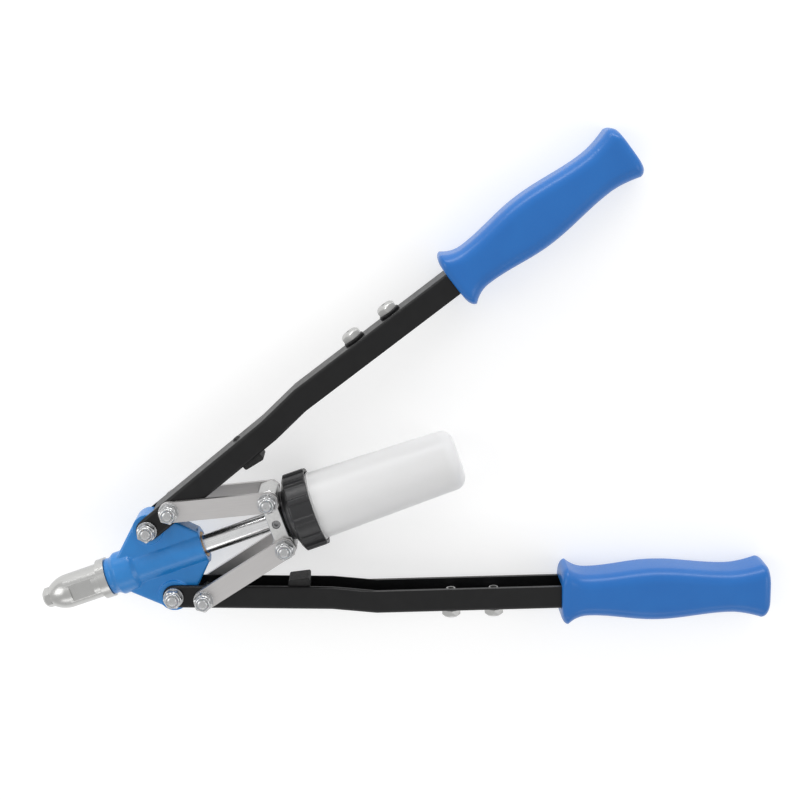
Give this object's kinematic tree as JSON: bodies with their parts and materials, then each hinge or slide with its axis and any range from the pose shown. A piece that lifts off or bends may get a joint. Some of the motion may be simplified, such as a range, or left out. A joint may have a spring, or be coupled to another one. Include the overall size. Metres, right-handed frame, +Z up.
{
  "type": "hand riveter",
  "caption": "Long-arm, two-handed lever riveter with a cast nose housing, linked channel arms, a hollow draw tube, gripping jaws and a screw-on mandrel bottle.",
  "frame": {"origin": "centre of the nosepiece's mouth, on the pull axis", "axes": "+X back along the pull axis to the bottle, +Y towards the upper arm, +Z up as the tool lies on its side"},
  "size_m": [0.4204, 0.3092, 0.0488],
  "materials": {
    "blue_paint": "semi-gloss paint on a casting",
    "blue_grip": "satin moulded plastic",
    "black_steel": "black satin coating on pressed steel",
    "link_steel": "satin zinc on flat steel",
    "nose_steel": "satin nickel",
    "crosshead_steel": "satin nickel",
    "tube_chrome": "bright chrome",
    "fastener_zinc": "bright zinc",
    "dark_steel": "hardened, blackened steel",
    "bush_bronze": "plain sintered bronze",
    "cap_plastic": "satin black plastic",
    "bottle_plastic": "translucent white plastic",
    "black_rubber": "matt rubber"
  },
  "bodies": {
    "housing": {"nose_housing": "blue_paint", "nose_barrel": "nose_steel", "nosepiece": "nose_steel", "guide_bush": "bush_bronze", "pivot_bolts": "fastener_zinc", "pivot_washers": "fastener_zinc", "pivot_nuts": "fastener_zinc"},
    "drawbar": {"draw_tube": "tube_chrome", "jaw_case": "dark_steel", "jaw_spring": "dark_steel", "crosshead": "crosshead_steel", "grub_screw": "dark_steel", "bottle_cap": "cap_plastic", "cap_nut": "fastener_zinc"},
    "jaw_pusher": {"jaw_pusher": "dark_steel"},
    "jaw_1": {"jaw_1": "dark_steel"},
    "jaw_2": {"jaw_2": "dark_steel"},
    "jaw_3": {"jaw_3": "dark_steel"},
    "upper_arm": {"upper_channel": "black_steel", "upper_grip": "blue_grip", "upper_bumper": "black_rubber", "upper_bumper_rivet": "black_steel", "upper_sockets": "black_steel", "upper_spare_nosepiece_1": "nose_steel", "upper_spare_nosepiece_2": "nose_steel"},
    "lower_arm": {"lower_channel": "black_steel", "lower_grip": "blue_grip", "lower_bumper": "black_rubber", "lower_bumper_rivet": "black_steel", "lower_sockets": "black_steel", "lower_spare_nosepiece_1": "nose_steel", "lower_spare_nosepiece_2": "nose_steel"},
    "upper_links": {"upper_near_link": "link_steel", "upper_far_link": "link_steel", "upper_link_bolts": "fastener_zinc", "upper_link_washers": "fastener_zinc", "upper_link_nuts": "fastener_zinc"},
    "lower_links": {"lower_near_link": "link_steel", "lower_far_link": "link_steel", "lower_link_bolts": "fastener_zinc", "lower_link_washers": "fastener_zinc", "lower_link_nuts": "fastener_zinc"},
    "seal": {"seal_ring": "black_rubber"},
    "bottle": {"bottle": "bottle_plastic"}
  },
  "joints": [
    {"name": "upper_arm_hinge", "type": "hinge", "parent": "housing", "child": "upper_arm", "pos_m": [0.0767, 0.0219, 0], "axis": [0, 0, 1], "range_deg": [-12.3, 40]},
    {"name": "lower_arm_hinge", "type": "hinge", "parent": "housing", "child": "lower_arm", "pos_m": [0.0767, -0.0219, 0], "axis": [0, 0, 1], "range_deg": [-40, 12.3]},
    {"name": "drawbar_slide", "type": "slide", "parent": "housing", "child": "drawbar", "axis": [1, 0, 0], "range_m": [-0.0104, 0.0032]},
    {"name": "upper_link_hinge", "type": "hinge", "parent": "upper_arm", "child": "upper_links", "pos_m": [0.09369, 0.02893, 0], "axis": [0, 0, 1], "range_deg": [-50, 15.4]},
    {"name": "lower_link_hinge", "type": "hinge", "parent": "lower_arm", "child": "lower_links", "pos_m": [0.09369, -0.02893, 0], "axis": [0, 0, 1], "range_deg": [-15.4, 50]},
    {"name": "jaw_pusher_slide", "type": "slide", "parent": "drawbar", "child": "jaw_pusher", "axis": [1, 0, 0], "range_m": [0, 0.0025], "stiffness_N_per_m": 800, "springref_m": -0.003, "deforming": ["jaw_spring"]},
    {"name": "jaw_1_slide", "type": "slide", "parent": "drawbar", "child": "jaw_1", "axis": [0.9848, -0.1504, -0.0868], "range_m": [0, 0.0026]},
    {"name": "jaw_2_slide", "type": "slide", "parent": "drawbar", "child": "jaw_2", "axis": [0.9848, 0.1504, -0.0868], "range_m": [0, 0.0026]},
    {"name": "jaw_3_slide", "type": "slide", "parent": "drawbar", "child": "jaw_3", "axis": [0.9848, 0, 0.1736], "range_m": [0, 0.0026]},
    {"name": "bottle_unscrew_slide", "type": "slide", "parent": "drawbar", "child": "seal", "axis": [1, 0, 0], "range_m": [0, 0.008]},
    {"name": "bottle_turn", "type": "hinge", "parent": "seal", "child": "bottle", "pos_m": [0.205, 0, 0], "axis": [1, 0, 0], "range_deg": [0, 725]}
  ],
  "couplings": [
    {"joint": "lower_arm_hinge", "follows": "upper_arm_hinge", "ratio": -1},
    {"joint": "drawbar_slide", "follows": "upper_arm_hinge", "m_per_rad": -0.014897},
    {"joint": "upper_link_hinge", "follows": "upper_arm_hinge", "ratio": -1.25},
    {"joint": "lower_link_hinge", "follows": "upper_arm_hinge", "ratio": 1.25},
    {"joint": "jaw_1_slide", "follows": "jaw_pusher_slide", "ratio": 1.0154},
    {"joint": "jaw_2_slide", "follows": "jaw_pusher_slide", "ratio": 1.0154},
    {"joint": "jaw_3_slide", "follows": "jaw_pusher_slide", "ratio": 1.0154},
    {"joint": "bottle_turn", "follows": "bottle_unscrew_slide", "rad_per_m": 1570.8}
  ]
}
